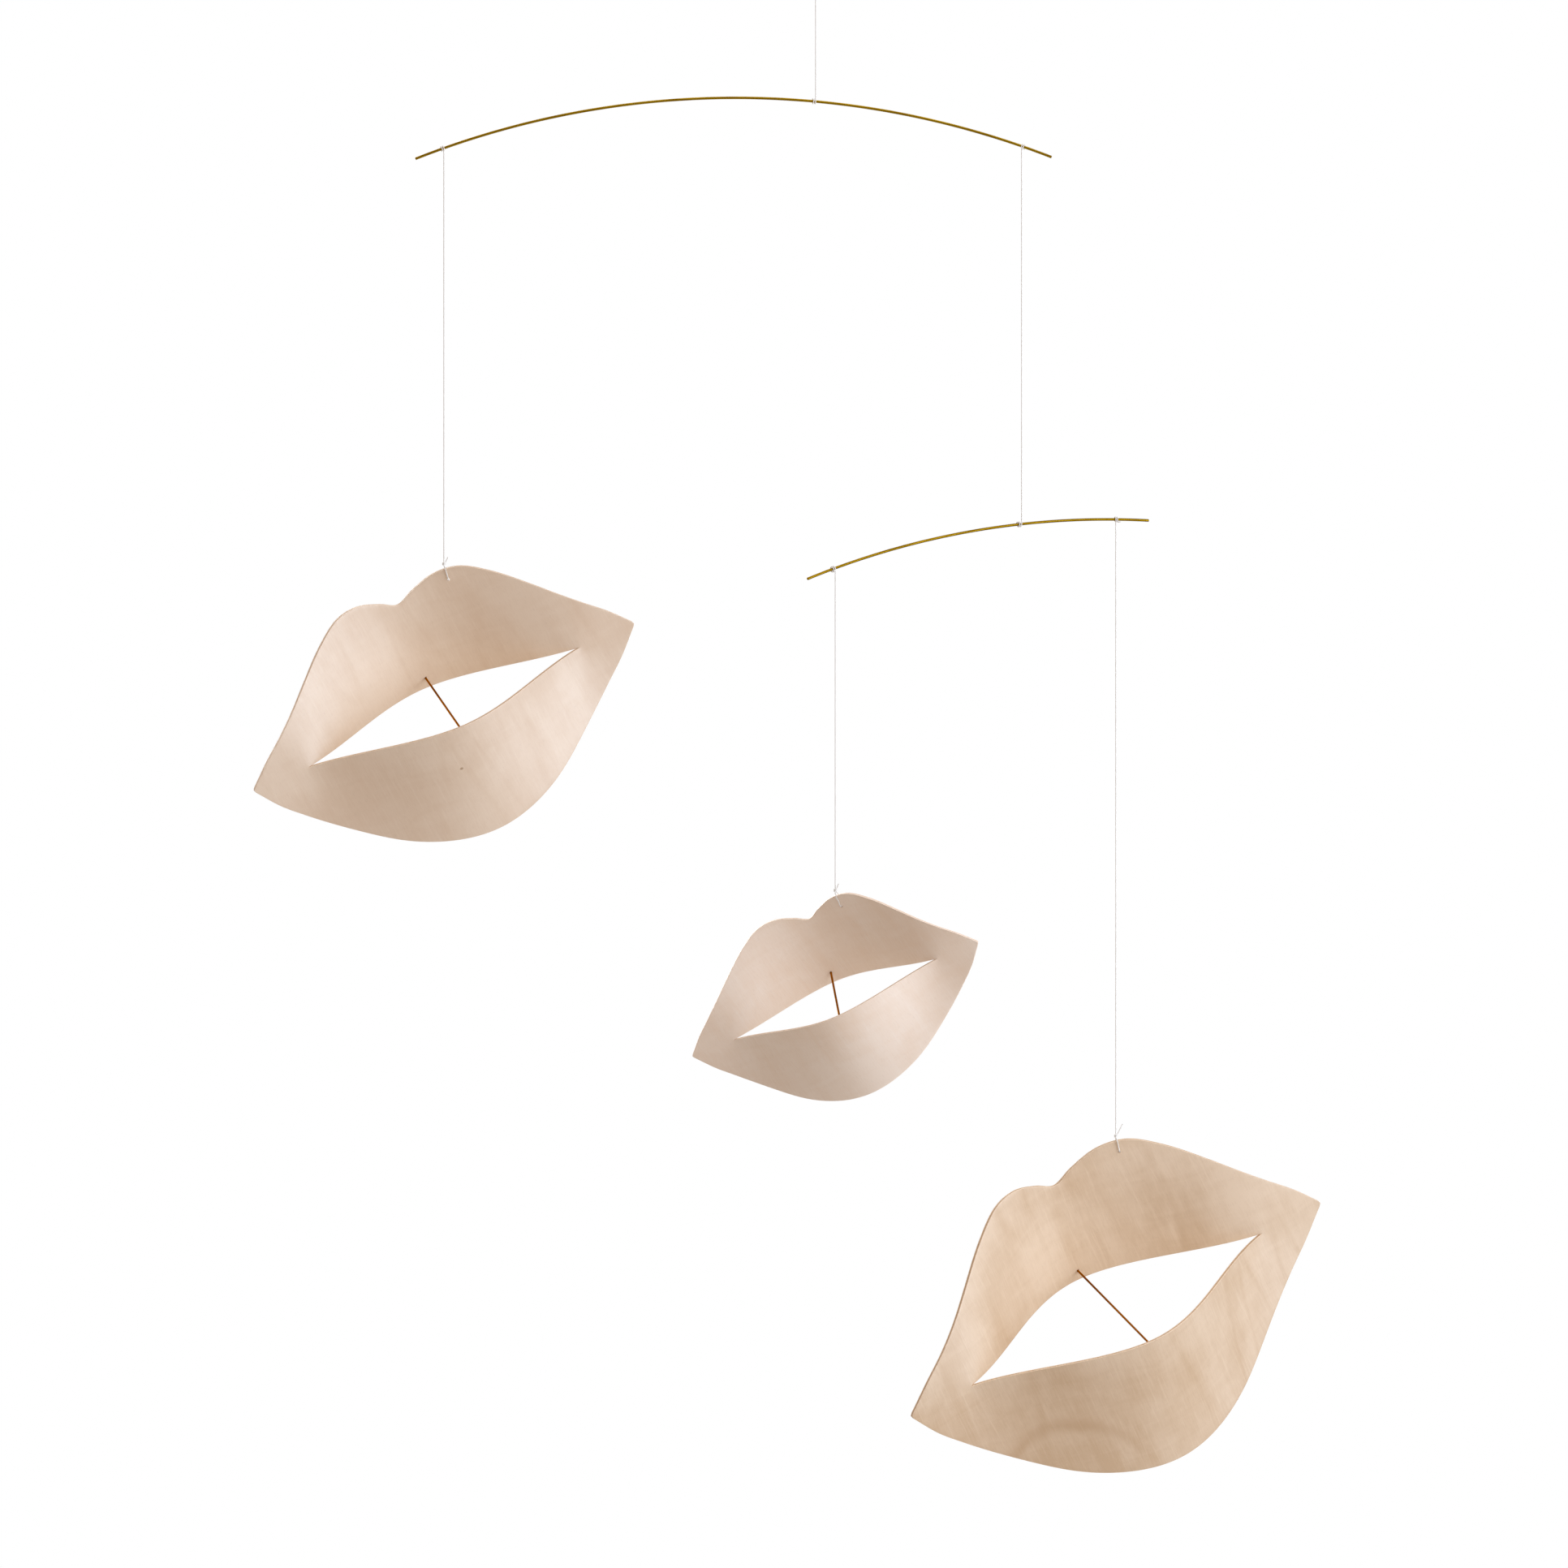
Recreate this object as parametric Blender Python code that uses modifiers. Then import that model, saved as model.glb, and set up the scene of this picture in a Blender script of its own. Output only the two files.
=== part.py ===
"""Hanging mobile: three sprung plywood lips strung by thread from two arched brass arms.

Metres. X runs along the upper arm, Y points away from the viewer and Z is up. The origin is the place
inside the ceiling thread's loop that the hook bears on. Angles are degrees, turns are about Z.
"""

import math

import bmesh
import bpy
import numpy as np
from mathutils import Matrix, Vector

# Stock
SHEET_THICKNESS = 0.0018
ROD_DIAMETER = 0.0015
PIN_DIAMETER = 0.0012
THREAD_DIAMETER = 0.0006
CLEARANCE = 0.0003

# Arms; places on an arm are measured along its chord from the middle
UPPER_SPAN = 0.358
UPPER_BEND_RADIUS = 0.49
UPPER_HUNG_AT = 0.0463
UPPER_LEFT_THREAD_AT = -0.1629
UPPER_RIGHT_THREAD_AT = 0.1621
UPPER_TILT = 0.15
LOWER_SPAN = 0.217
LOWER_BEND_RADIUS = 0.545
LOWER_HUNG_AT = 0.0285
LOWER_LEFT_THREAD_AT = -0.0909
LOWER_RIGHT_THREAD_AT = 0.0875
LOWER_TILT = 8.8
LOWER_TURN = 26.3

# Drops, from the hook to the upper arm, from arm to arm and from an arm to a lip's knot
CEILING_DROP = 0.0768
LEFT_DROP = 0.2345
ARM_DROP = 0.2127
SMALL_DROP = 0.1815
LARGE_DROP = 0.3477

# Lips; a spread is how far the pin holds the middles of the two flaps apart, and the pin leans, so that
# its head in the upper flap and its foot behind the lower one are each aside of the middle
LEFT_WIDTH = 0.2412
LEFT_SPREAD = 0.0609
LEFT_TURN = 16.2
LEFT_HOLE_ASIDE = 0.0312
LEFT_HEAD_ASIDE = 0.0032
LEFT_FOOT_ASIDE = -0.0016
SMALL_WIDTH = 0.1776
SMALL_SPREAD = 0.0544
SMALL_TURN = -14.5
SMALL_HOLE_ASIDE = 0.0218
SMALL_HEAD_ASIDE = -0.0022
SMALL_FOOT_ASIDE = 0.003
LARGE_WIDTH = 0.2862
LARGE_SPREAD = 0.0844
LARGE_TURN = 27.7
LARGE_HOLE_ASIDE = 0.0405
LARGE_HEAD_ASIDE = 0.0041
LARGE_FOOT_ASIDE = -0.0041
HOLE_DIAMETER = THREAD_DIAMETER + 0.001
HOLE_INSET = 0.007
PIN_INSET = 0.0062
PIN_DEPTH = 0.0006
SLIT_KERF = 0.0008

# The blank's form, as shares of its half width: its outline is the same on both sides of the middle
SLIT_SHARE = 0.713
TOP_EDGE = (
    (0.0, 0.458), (0.08, 0.498), (0.2, 0.546), (0.32, 0.545), (0.45, 0.478),
    (0.6, 0.363), (0.7, 0.278), (0.8, 0.194), (0.9, 0.109), (1.0, 0.006),
)
BOTTOM_EDGE = (
    (0.0, 0.567), (0.2, 0.545), (0.4, 0.48), (0.6, 0.364), (0.8, 0.216), (0.9, 0.126), (1.0, 0.006),
)

# How firmly the sheet holds a flap at the slit's ends: 0 as a hinge would, 1 as a clamp would
END_HOLD_SHARE = 0.591

# Thread work; a thread that something turns under is parted there, and each half turns with its own end
HITCH_TURNS = 1.75
HITCH_PITCH = THREAD_DIAMETER + 0.0005
HITCH_RISE = 0.003
KNOT_TURNS = 1.75
KNOT_PITCH = THREAD_DIAMETER + 0.00015
KNOT_RISE = 0.0022
TAIL = 0.003
LARGE_TAIL = 0.006
LOOP_HEIGHT = 0.011
LOOP_WIDTH = 0.0064
LOOP_OPENING = 56

# Fineness of the meshes
STEPS_A_TURN = 8
ROD_STEPS = 24
SLIT_STEPS = 28
CORNER_STEPS = 5
FLAP_STEPS = 4
LOOP_STEPS = 14

THREAD_RADIUS = THREAD_DIAMETER / 2
WRAP_RADIUS = ROD_DIAMETER / 2 + CLEARANCE + THREAD_RADIUS
STRAND_OFFSET = SHEET_THICKNESS / 2 + CLEARANCE + THREAD_RADIUS
COIL_RADIUS = THREAD_DIAMETER + CLEARANCE


class Arm:
    """A rod bent to an arc in an upright plane, tilted and turned about the place where it hangs."""

    def __init__(self, span, bend_radius, hung_at, tilt, turn, line):
        self.span = span
        self.bend_radius = bend_radius
        self.axes = Matrix.Rotation(math.radians(turn), 3, "Z") @ Matrix.Rotation(math.radians(-tilt), 3, "Y")
        self.front = self.axes @ Vector((0, -1, 0))
        self.start = Vector(line) - WRAP_RADIUS * self.front - self.axes @ self.rise(hung_at)

    def rise(self, along):
        ends = math.sqrt(self.bend_radius**2 - (self.span / 2) ** 2)
        return Vector((along, 0, math.sqrt(self.bend_radius**2 - along**2) - ends))

    def at(self, along):
        """The rod's centre at this place along the chord."""
        return self.start + self.axes @ self.rise(along)

    def line(self, along):
        """The place in front of the rod where a thread hitched here leaves it."""
        return self.at(along) + WRAP_RADIUS * self.front

    def hitch(self, along, way, side):
        """The thread's turns round the rod, from its tail to where it leaves: way is 1 up or -1 down."""
        out = self.axes @ Vector((along, 0, math.sqrt(self.bend_radius**2 - along**2))).normalized()
        run = out.cross(self.front)
        count = round(HITCH_TURNS * STEPS_A_TURN)
        turns = []
        for step in range(count, -1, -1):
            angle = math.tau * HITCH_TURNS * step / count
            around = self.front * math.cos(angle) - out * way * math.sin(angle)
            slide = run * side * HITCH_PITCH * HITCH_TURNS * step / count
            turns.append(self.at(along) + around * WRAP_RADIUS + slide)
        return [turns[0] + self.front * TAIL] + turns


class Lip:
    """A blank cut to a mouth's outline and slit along its middle, its flaps sprung apart by a pin.

    In its own axes X runs along the slit and Z across it, Y is how far the sheet is sprung, and the
    origin is the slit's middle. It hangs with that middle straight below the knot over its top edge.
    """

    def __init__(self, width, spread, turn, hole_aside, head_aside, foot_aside, line, drop):
        self.half = width / 2
        self.spread = spread
        self.hole_aside = hole_aside
        self.head_aside = head_aside
        self.foot_aside = foot_aside
        knot = self.at(hole_aside, self.edge(hole_aside, 1) + KNOT_RISE)
        roll = math.asin(knot.x / knot.length)
        tilt = math.atan2(knot.y, knot.z)
        axes = (
            Matrix.Rotation(math.radians(turn), 4, "Z")
            @ Matrix.Rotation(-roll, 4, "Y")
            @ Matrix.Rotation(tilt, 4, "X")
        )
        self.hung = Vector(line) - Vector((0, 0, drop))
        self.world = Matrix.Translation(self.hung) @ axes @ Matrix.Translation(-knot)

    def edge(self, across, side):
        """How far the outline is from the slit, above it for side 1 and below it for side -1."""
        shares, heights = np.array(TOP_EDGE if side > 0 else BOTTOM_EDGE).T
        slopes = np.gradient(heights, shares)
        slopes[0] = 0
        at = min(abs(across) / self.half, 1)
        k = min(int(np.searchsorted(shares, at, side="right")) - 1, len(shares) - 2)
        step = shares[k + 1] - shares[k]
        t = (at - shares[k]) / step
        ease = t * t * (3 - 2 * t)
        start = slopes[k] * step * t * (1 - t) ** 2
        end = slopes[k + 1] * step * t * t * (t - 1)
        return float(heights[k] * (1 - ease) + heights[k + 1] * ease + start + end) * self.half

    def spring(self, x, z, side):
        """How far the sheet is sprung: a strip pushed at its middle and part-clamped at the slit's ends.

        reach is 0 at the middle and 1 beyond the slit's ends, and is constant along hyperbolas that
        have the slit's ends as foci.
        """
        slit = SLIT_SHARE * self.half
        whole = (x * x + z * z) / slit**2 + 1
        reach = math.sqrt(max((whole - math.sqrt(max(whole**2 - 4 * (x / slit) ** 2, 0))) / 2, 0))
        hold = 1.5 * END_HOLD_SHARE
        return side * self.spread / 2 * (1 - (1.5 + hold) * reach**2 + (0.5 + hold) * reach**3)

    def at(self, x, z, offset=0.0):
        """The place on the sheet's middle surface, or offset from it towards its back."""
        side = 1 if z >= 0 else -1
        near = self.half / 1000
        lean_x = (self.spring(x + near, z, side) - self.spring(x - near, z, side)) / (2 * near)
        lean_z = (self.spring(x, z + near, side) - self.spring(x, z - near, side)) / (2 * near)
        normal = Vector((-lean_x, 1, -lean_z)).normalized()
        return Vector((x, self.spring(x, z, side), z)) + offset * normal

    def pin_meets(self, side):
        """Where the pin meets the front of the upper flap for side 1, or the back of the lower for -1."""
        x = self.head_aside if side > 0 else self.foot_aside
        z = side * PIN_INSET
        return Vector((x, self.spring(x, z, side) - side * SHEET_THICKNESS / 2, z))

    def pin_end(self, side, depth):
        """A place on the pin's line, this deep in the upper flap for side 1 or the lower for side -1."""
        met = self.pin_meets(side)
        return met + depth * (met - self.pin_meets(-side)).normalized()


def paint(obj, colour, roughness, metallic):
    material = bpy.data.materials.new(obj.name)
    material.use_nodes = True
    shader = material.node_tree.nodes["Principled BSDF"]
    shader.inputs["Base Color"].default_value = (*colour, 1)
    shader.inputs["Roughness"].default_value = roughness
    shader.inputs["Metallic"].default_value = metallic
    obj.data.materials.append(material)


def white_thread(obj):
    paint(obj, (0.82, 0.81, 0.78), 0.8, 0.0)


def brass(obj):
    paint(obj, (0.48, 0.36, 0.13), 0.32, 1.0)


def bronze_pin(obj):
    paint(obj, (0.38, 0.19, 0.07), 0.35, 1.0)


def birch(obj):
    paint(obj, (0.66, 0.53, 0.41), 0.6, 0.0)


def swivel(name, place, parent):
    """An empty on a vertical swivel's axis."""
    empty = bpy.data.objects.new(name, None)
    parts.objects.link(empty)
    empty.parent = parent
    above = parent.matrix_world.translation if parent else Vector()
    empty.location = Vector(place) - above
    bpy.context.view_layer.update()
    return empty


def attach(obj, empty, world):
    obj.parent = empty
    obj.matrix_local = empty.matrix_world.inverted() @ world


def tube(name, points, diameter, resolution, empty, finish):
    """A round wire or thread along these points."""
    curve = bpy.data.curves.new(name, "CURVE")
    curve.dimensions = "3D"
    curve.bevel_depth = diameter / 2
    curve.bevel_resolution = resolution
    curve.use_fill_caps = True
    line = curve.splines.new("POLY")
    line.points.add(len(points) - 1)
    for spot, point in zip(line.points, points):
        spot.co = (*(point - empty.matrix_world.translation), 1)
    line.use_smooth = True
    obj = bpy.data.objects.new(name, curve)
    parts.objects.link(obj)
    attach(obj, empty, empty.matrix_world)
    finish(obj)
    return obj


def rod_between(name, start, end, diameter, collection):
    """A straight round bar between two places."""
    bpy.ops.mesh.primitive_cylinder_add(vertices=16, radius=diameter / 2, depth=(end - start).length)
    obj = bpy.context.object
    obj.name = name
    for home in list(obj.users_collection):
        home.objects.unlink(obj)
    collection.objects.link(obj)
    lie = (end - start).to_track_quat("Z", "Y").to_matrix().to_4x4()
    obj.matrix_world = Matrix.Translation((start + end) / 2) @ lie
    return obj


def drill(lip_obj, name, start, end, diameter):
    """A hole in the sheet, cut by a hidden bar."""
    cutter = rod_between(name, start, end, diameter, cutters)
    cutter.hide_render = True
    cutter.display_type = "WIRE"
    cut = lip_obj.modifiers.new(name, "BOOLEAN")
    cut.operation = "DIFFERENCE"
    cut.solver = "EXACT"
    cut.object = cutter


def make_arm(name, arm, empty):
    places = [arm.span * (step / ROD_STEPS - 0.5) for step in range(ROD_STEPS + 1)]
    return tube(name, [arm.at(along) for along in places], ROD_DIAMETER, 3, empty, brass)


def coil(x, y, bottom, start_angle, tail):
    """A knot's turns round the standing thread, rising from bottom, with the cut tail after them."""
    count = round(KNOT_TURNS * STEPS_A_TURN)
    turns = []
    for step in range(count + 1):
        turned = KNOT_TURNS * step / count
        angle = start_angle + math.tau * turned
        outward = Vector((math.cos(angle), math.sin(angle), 0))
        turns.append(Vector((x, y, bottom + KNOT_PITCH * turned)) + COIL_RADIUS * outward)
    return turns, turns[-1] + Vector((outward.x * tail / 2, outward.y * tail / 2, tail))


def ceiling_loop():
    """The hook's loop: cut tail, knot, loop in the upright plane of the arm, then down the middle."""
    knot_top = THREAD_RADIUS - LOOP_HEIGHT - THREAD_DIAMETER * 3
    knot_bottom = knot_top - KNOT_TURNS * KNOT_PITCH
    turns, _ = coil(0, 0, knot_bottom, math.tau * (1 - KNOT_TURNS), TAIL)
    loose = turns[0] + Vector((0, TAIL / 2, -TAIL))
    centre = THREAD_RADIUS - LOOP_HEIGHT / 2
    loop = []
    for step in range(LOOP_STEPS + 1):
        angle = math.radians(LOOP_OPENING / 2 - 90 + (360 - LOOP_OPENING) * step / LOOP_STEPS)
        loop.append(Vector((LOOP_WIDTH / 2 * math.cos(angle), 0, centre + LOOP_HEIGHT / 2 * math.sin(angle))))
    return [loose] + turns + loop + [Vector((0, 0, knot_top + THREAD_DIAMETER))]


def lip_loop(lip, tail):
    """Down in front of the sheet, through its hole, up behind it and twice round the thread above."""
    edge = lip.edge(lip.hole_aside, 1)
    places = (
        (KNOT_RISE / 2, -0.7), (CLEARANCE, -1), (-HOLE_INSET / 2, -1), (CLEARANCE - HOLE_INSET, -1),
        (-HOLE_INSET, -0.6), (-HOLE_INSET, 0.6),
        (CLEARANCE - HOLE_INSET, 1), (-HOLE_INSET / 2, 1), (CLEARANCE, 1), (KNOT_RISE / 2, 0.7),
    )
    strand = []
    for rise, share in places:
        strand.append(lip.world @ lip.at(lip.hole_aside, edge + rise, share * STRAND_OFFSET))
    knot = lip.hung
    back = strand[-1] - knot
    turns, end = coil(knot.x, knot.y, knot.z, math.atan2(back.y, back.x), tail)
    return [knot - Vector((0, 0, THREAD_RADIUS))] + strand + turns + [end]


def flap_grid(mesh, lip, side):
    """One flap as a grid, laid out from the slit to the outline and sprung."""
    columns = SLIT_STEPS + 2 * CORNER_STEPS
    grid = bmesh.ops.create_grid(mesh, x_segments=columns, y_segments=FLAP_STEPS, size=0.5)
    slit = SLIT_SHARE * lip.half
    for vert in grid["verts"]:
        column = round((vert.co.x + 0.5) * columns) - columns / 2
        row = round((vert.co.y + 0.5) * FLAP_STEPS) / FLAP_STEPS
        past = max(abs(column) - SLIT_STEPS / 2, 0)
        x = slit * min(abs(column) * 2 / SLIT_STEPS, 1) + (lip.half - slit) * past / CORNER_STEPS
        x = math.copysign(x, column)
        kerf = SLIT_KERF / 2 * math.sqrt(max(1 - (x / slit) ** 2, 0))
        z = kerf + row * (lip.edge(x, side) - kerf)
        vert.co = Vector((x, lip.spring(x, z, side), side * z))
    if side < 0:
        bmesh.ops.reverse_faces(mesh, faces=list({face for vert in grid["verts"] for face in vert.link_faces}))


def make_lip(name, lip, empty):
    """The sheet: both flaps, joined beyond the slit's ends, thickened and drilled."""
    mesh = bmesh.new()
    flap_grid(mesh, lip, 1)
    flap_grid(mesh, lip, -1)
    bmesh.ops.remove_doubles(mesh, verts=mesh.verts, dist=SLIT_KERF / 100)
    data = bpy.data.meshes.new(name)
    mesh.to_mesh(data)
    mesh.free()
    data.shade_smooth()
    obj = bpy.data.objects.new(name, data)
    parts.objects.link(obj)
    attach(obj, empty, lip.world)
    birch(obj)
    sheet = obj.modifiers.new("sheet", "SOLIDIFY")
    sheet.thickness = SHEET_THICKNESS
    sheet.offset = 0
    sheet.use_even_offset = True
    x = lip.hole_aside
    z = lip.edge(x, 1) - HOLE_INSET
    through = [lip.world @ lip.at(x, z, way * SHEET_THICKNESS) for way in (-1, 1)]
    drill(obj, name + "_thread_hole", *through, HOLE_DIAMETER)
    for side, word in ((1, "upper"), (-1, "lower")):
        bed = [lip.world @ lip.pin_end(side, depth) for depth in (-SHEET_THICKNESS, PIN_DEPTH + CLEARANCE)]
        drill(obj, f"{name}_{word}_pin_hole", *bed, PIN_DIAMETER + 2 * CLEARANCE)
    return obj


def make_pin(name, lip, empty):
    ends = [lip.world @ lip.pin_end(side, PIN_DEPTH) for side in (-1, 1)]
    pin = rod_between(name, *ends, PIN_DIAMETER, parts)
    attach(pin, empty, pin.matrix_world.copy())
    pin.data.shade_smooth()
    pin.data.set_sharp_from_angle(angle=math.radians(40))
    bronze_pin(pin)


def above_it(place, rise):
    return place + Vector((0, 0, rise))


def tie_arm(word, top, above, arm, along, hung, empty):
    """The thread that carries an arm, down from these points, and its hitch round the arm."""
    route = top + [above_it(hung, HITCH_RISE + CLEARANCE)]
    tube(word + "_thread", route, THREAD_DIAMETER, 2, above, white_thread)
    route = arm.hitch(along, 1, -1) + [above_it(hung, HITCH_RISE)]
    tube(word + "_hitch", route, THREAD_DIAMETER, 2, empty, white_thread)


def hang(word, form, arm, along, side, drop, tail, above):
    """A lip with its pin, and the thread hitched to the arm and looped through the lip."""
    lip = Lip(*form, arm.line(along), drop)
    empty = swivel(word + "_lip_swivel", lip.hung, above)
    route = arm.hitch(along, -1, side) + [above_it(lip.hung, CLEARANCE)]
    tube(word + "_thread", route, THREAD_DIAMETER, 2, above, white_thread)
    tube(word + "_knot", lip_loop(lip, tail), THREAD_DIAMETER, 2, empty, white_thread)
    make_lip(word + "_lip", lip, empty)
    make_pin(word + "_pin", lip, empty)


def build():
    root = swivel("hook", (0, 0, 0), None)
    hung = Vector((0, 0, -CEILING_DROP))
    upper = Arm(UPPER_SPAN, UPPER_BEND_RADIUS, UPPER_HUNG_AT, UPPER_TILT, 0, hung)
    upper_empty = swivel("upper_arm_swivel", hung, root)
    make_arm("upper_arm", upper, upper_empty)
    tie_arm("ceiling", ceiling_loop(), root, upper, UPPER_HUNG_AT, hung, upper_empty)

    lower_hung = upper.line(UPPER_RIGHT_THREAD_AT) - Vector((0, 0, ARM_DROP))
    lower = Arm(LOWER_SPAN, LOWER_BEND_RADIUS, LOWER_HUNG_AT, LOWER_TILT, LOWER_TURN, lower_hung)
    lower_empty = swivel("lower_arm_swivel", lower_hung, upper_empty)
    make_arm("lower_arm", lower, lower_empty)
    top = upper.hitch(UPPER_RIGHT_THREAD_AT, -1, 1)
    tie_arm("arm", top, upper_empty, lower, LOWER_HUNG_AT, lower_hung, lower_empty)

    left = (LEFT_WIDTH, LEFT_SPREAD, LEFT_TURN, LEFT_HOLE_ASIDE, LEFT_HEAD_ASIDE, LEFT_FOOT_ASIDE)
    small = (SMALL_WIDTH, SMALL_SPREAD, SMALL_TURN, SMALL_HOLE_ASIDE, SMALL_HEAD_ASIDE, SMALL_FOOT_ASIDE)
    large = (LARGE_WIDTH, LARGE_SPREAD, LARGE_TURN, LARGE_HOLE_ASIDE, LARGE_HEAD_ASIDE, LARGE_FOOT_ASIDE)
    hang("left", left, upper, UPPER_LEFT_THREAD_AT, -1, LEFT_DROP, TAIL, upper_empty)
    hang("small", small, lower, LOWER_LEFT_THREAD_AT, -1, SMALL_DROP, TAIL, lower_empty)
    hang("large", large, lower, LOWER_RIGHT_THREAD_AT, 1, LARGE_DROP, LARGE_TAIL, lower_empty)


for old in list(bpy.data.objects):
    bpy.data.objects.remove(old)
parts = bpy.data.collections.new("hanging_mobile")
cutters = bpy.data.collections.new("cutters")
for collection in (parts, cutters):
    bpy.context.scene.collection.children.link(collection)
build()
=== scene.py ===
"""Looks of the hanging mobile: three sprung plywood lips on white thread, from two arched brass rods.

Metres, in the part's own frame: X runs to the viewer's right, Y away from the viewer, Z is up, and the
hook is at the origin. Angles are degrees. Each surface is a grid of points worked out as whole arrays.
"""

import bpy
import numpy as np
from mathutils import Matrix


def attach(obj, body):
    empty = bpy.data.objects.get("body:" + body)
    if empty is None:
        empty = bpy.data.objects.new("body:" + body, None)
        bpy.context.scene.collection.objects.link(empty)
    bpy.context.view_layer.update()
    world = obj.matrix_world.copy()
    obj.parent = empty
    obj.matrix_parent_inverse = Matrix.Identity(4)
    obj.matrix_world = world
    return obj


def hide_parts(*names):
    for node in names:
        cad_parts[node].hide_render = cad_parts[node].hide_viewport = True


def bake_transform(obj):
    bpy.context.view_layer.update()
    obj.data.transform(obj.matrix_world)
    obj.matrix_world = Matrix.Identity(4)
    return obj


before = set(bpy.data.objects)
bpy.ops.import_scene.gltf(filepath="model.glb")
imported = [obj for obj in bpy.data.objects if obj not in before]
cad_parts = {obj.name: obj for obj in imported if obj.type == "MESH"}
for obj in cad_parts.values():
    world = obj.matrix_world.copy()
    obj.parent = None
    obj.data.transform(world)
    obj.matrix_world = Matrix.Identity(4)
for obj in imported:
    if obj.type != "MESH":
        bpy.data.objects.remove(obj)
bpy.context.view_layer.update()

# Stock, as in the part
SHEET_THICKNESS = 0.0018
ROD_DIAMETER = 0.0015
PIN_DIAMETER = 0.0012
THREAD_DIAMETER = 0.0006
CLEARANCE = 0.0003

# Arms, as in the part
UPPER_SPAN = 0.358
UPPER_BEND_RADIUS = 0.49
UPPER_HUNG_AT = 0.0463
UPPER_LEFT_THREAD_AT = -0.1629
UPPER_RIGHT_THREAD_AT = 0.1621
UPPER_TILT = 0.15
LOWER_SPAN = 0.217
LOWER_BEND_RADIUS = 0.545
LOWER_HUNG_AT = 0.0285
LOWER_LEFT_THREAD_AT = -0.0909
LOWER_RIGHT_THREAD_AT = 0.0875
LOWER_TILT = 8.8
LOWER_TURN = 26.3
CEILING_DROP = 0.0768
LEFT_DROP = 0.2345
ARM_DROP = 0.2127
SMALL_DROP = 0.1815
LARGE_DROP = 0.3477

# Lips, as in the part: width, spread, turn, and how far the hole, the pin's head and its foot are aside
LEFT_FORM = (0.2412, 0.0609, 16.2, 0.0312, 0.0032, -0.0016)
SMALL_FORM = (0.1776, 0.0544, -14.5, 0.0218, -0.0022, 0.003)
LARGE_FORM = (0.2862, 0.0844, 27.7, 0.0405, 0.0041, -0.0041)
HOLE_DIAMETER = THREAD_DIAMETER + 0.001
HOLE_INSET = 0.007
PIN_INSET = 0.0062
PIN_DEPTH = 0.0006
SLIT_KERF = 0.0008
SLIT_SHARE = 0.713
END_HOLD_SHARE = 0.591
TOP_EDGE = (
    (0.0, 0.458), (0.08, 0.498), (0.2, 0.546), (0.32, 0.545), (0.45, 0.478),
    (0.6, 0.363), (0.7, 0.278), (0.8, 0.194), (0.9, 0.109), (1.0, 0.006),
)
BOTTOM_EDGE = (
    (0.0, 0.567), (0.2, 0.545), (0.4, 0.48), (0.6, 0.364), (0.8, 0.216), (0.9, 0.126), (1.0, 0.006),
)

# Thread work
HITCH_TURNS = 1.75
HITCH_PITCH = THREAD_DIAMETER + 0.0005
KNOT_TURNS = 1.75
KNOT_PITCH = THREAD_DIAMETER + 0.00015
KNOT_RISE = 0.0022
TAIL = 0.003
LARGE_TAIL = 0.006
LOOP_HEIGHT = 0.011
LOOP_WIDTH = 0.0064
LOOP_OPENING = 56
PLY_PITCH = 0.0017
PLY_DEPTH_SHARE = 0.1
THREAD_STEP = 0.00022
THREAD_SIDES = 12

# Heights above the piece that hangs on a thread, far off, near the rod and near the lip
TWIST_FAR = 0.03
TWIST_NEAR_ROD = 0.003
TWIST_NEAR_LIP = 0.004

# Finish of the sheet's cut edges, its grain and the rods' ends
EDGE_ROUND = 0.00018
TIP_ROUND_SHARE = 0.006
ROD_CHAMFER = 0.0002
GRAIN_LEAN = 0.18
WOOD_KNOT_HALF_WIDTH = 0.0011
WOOD_KNOT_HALF_HEIGHT = 0.0008
WOOD_KNOT_BROWN = (0.3, 0.16, 0.055)
ARCH_LINE = 0.0075
ARCH_WANDER = 0.024
ARCH_BROWN = (0.43, 0.25, 0.11)

# Steps of the surfaces and of the threads' turns
SHEET_STEPS_ROUND = 640
SHEET_STEPS_OVER = 34
ARM_STEPS = 160
PIN_STEPS = 24
BAR_SIDES = 24
BORE_SIDES = 32
HITCH_STEPS = 40
KNOT_STEPS = 30
LOOP_STEPS = 30

# Floor, and the place that the lamps face
FLOOR_RADIUS = 2.4
FLOOR_LEVEL = -2.0
FLOOR_THICKNESS = 0.02
FLOOR_SIDES = 96
LIT_MIDDLE = (0.0, 0.0, -0.45)

THREAD_RADIUS = THREAD_DIAMETER / 2
WRAP_RADIUS = ROD_DIAMETER / 2 + CLEARANCE + THREAD_RADIUS
STRAND_OFFSET = SHEET_THICKNESS / 2 + CLEARANCE + THREAD_RADIUS
COIL_RADIUS = THREAD_DIAMETER + CLEARANCE / 2


# Geometry


def unit(vectors):
    """Each vector divided by its own length."""
    return vectors / np.linalg.norm(vectors, axis=-1, keepdims=True)


def turned(axis, degrees):
    """The turn about X, Y or Z, as a 3 by 3 matrix: cosines on the other two axes, sines between them."""
    c, s = np.cos(np.radians(degrees)), np.sin(np.radians(degrees))
    if axis == "X":
        return np.array([[1, 0, 0], [0, c, -s], [0, s, c]])
    if axis == "Y":
        return np.array([[c, 0, s], [0, 1, 0], [-s, 0, c]])
    return np.array([[c, -s, 0], [s, c, 0], [0, 0, 1]])


def above(place, rise):
    """The place raised by rise along Z."""
    return np.asarray(place, float) + np.array([0, 0, rise])


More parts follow.
